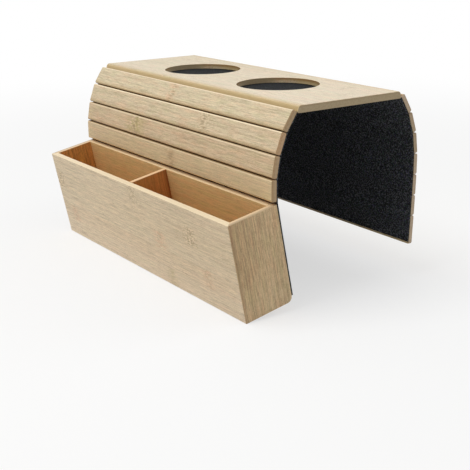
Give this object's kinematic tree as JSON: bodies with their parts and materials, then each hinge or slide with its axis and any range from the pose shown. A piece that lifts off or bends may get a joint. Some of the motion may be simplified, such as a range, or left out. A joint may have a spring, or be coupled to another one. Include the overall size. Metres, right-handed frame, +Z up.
{
  "type": "sofa arm tray",
  "caption": "Slatted bamboo tray on felt that drapes over a sofa arm, with cup holes in its flat panel and a divided storage box hanging at the front.",
  "frame": {"origin": "middle of the felt's underside below the top panel, where the tray rests on a sofa arm", "axes": "+X along the sofa arm and the tray's length, +Z up, -Y towards the front with the box"},
  "size_m": [0.4, 0.2546, 0.2155],
  "materials": {
    "bamboo_panel": "satin",
    "bamboo_slats": "satin",
    "bamboo_box": "satin",
    "felt": "matte"
  },
  "bodies": {
    "panel": {"top_panel": "bamboo_panel", "felt_panel": "felt"},
    "front_1": {"front_slat_1": "bamboo_slats", "felt_front_1": "felt"},
    "front_2": {"front_slat_2": "bamboo_slats", "felt_front_2": "felt"},
    "front_3": {"front_slat_3": "bamboo_slats", "felt_front_3": "felt"},
    "front_4": {"front_slat_4": "bamboo_slats", "felt_front_4": "felt"},
    "box": {"box_front": "bamboo_box", "box_back": "bamboo_box", "box_left_end": "bamboo_box", "box_right_end": "bamboo_box", "box_bottom": "bamboo_box", "box_divider": "bamboo_box", "felt_box": "felt"},
    "rear_1": {"rear_slat_1": "bamboo_slats", "felt_rear_1": "felt"},
    "rear_2": {"rear_slat_2": "bamboo_slats", "felt_rear_2": "felt"},
    "rear_3": {"rear_slat_3": "bamboo_slats", "felt_rear_3": "felt"},
    "rear_4": {"rear_slat_4": "bamboo_slats", "felt_rear_4": "felt"},
    "rear_5": {"rear_slat_5": "bamboo_slats", "felt_rear_5": "felt"},
    "rear_6": {"rear_slat_6": "bamboo_slats", "felt_rear_6": "felt"},
    "rear_7": {"rear_slat_7": "bamboo_slats", "felt_rear_7": "felt"}
  },
  "joints": [
    {"name": "front_1_fold", "type": "hinge", "parent": "panel", "child": "front_1", "pos_m": [0, -0.07075, 0.002], "axis": [1, 0, 0], "range_deg": [-56.5, 33.5]},
    {"name": "front_2_fold", "type": "hinge", "parent": "front_1", "child": "front_2", "pos_m": [0, -0.08372, -0.0176], "axis": [1, 0, 0], "range_deg": [-13, 12]},
    {"name": "front_3_fold", "type": "hinge", "parent": "front_2", "child": "front_3", "pos_m": [0, -0.09195, -0.03961], "axis": [1, 0, 0], "range_deg": [-10.5, 14.5]},
    {"name": "front_4_fold", "type": "hinge", "parent": "front_3", "child": "front_4", "pos_m": [0, -0.09603, -0.06275], "axis": [1, 0, 0], "range_deg": [-9.5, 15.5]},
    {"name": "box_fold", "type": "hinge", "parent": "front_4", "child": "box", "pos_m": [0, -0.09624, -0.0873], "axis": [1, 0, 0], "range_deg": [-11.5, 13.5]},
    {"name": "rear_1_fold", "type": "hinge", "parent": "panel", "child": "rear_1", "pos_m": [0, 0.07075, 0.002], "axis": [1, 0, 0], "range_deg": [-31.5, 58.5]},
    {"name": "rear_2_fold", "type": "hinge", "parent": "rear_1", "child": "rear_2", "pos_m": [0, 0.08303, -0.01804], "axis": [1, 0, 0], "range_deg": [-12.5, 12.5]},
    {"name": "rear_3_fold", "type": "hinge", "parent": "rear_2", "child": "rear_3", "pos_m": [0, 0.09068, -0.04026], "axis": [1, 0, 0], "range_deg": [-13.5, 11.5]},
    {"name": "rear_4_fold", "type": "hinge", "parent": "rear_3", "child": "rear_4", "pos_m": [0, 0.09375, -0.06356], "axis": [1, 0, 0], "range_deg": [-18, 7]},
    {"name": "rear_5_fold", "type": "hinge", "parent": "rear_4", "child": "rear_5", "pos_m": [0, 0.09395, -0.08705], "axis": [1, 0, 0], "range_deg": [-23, 2]},
    {"name": "rear_6_fold", "type": "hinge", "parent": "rear_5", "child": "rear_6", "pos_m": [0, 0.09334, -0.11055], "axis": [1, 0, 0], "range_deg": [-24.5, 0.5]},
    {"name": "rear_7_fold", "type": "hinge", "parent": "rear_6", "child": "rear_7", "pos_m": [0, 0.09252, -0.13403], "axis": [1, 0, 0], "range_deg": [-24.5, 0.5]}
  ]
}
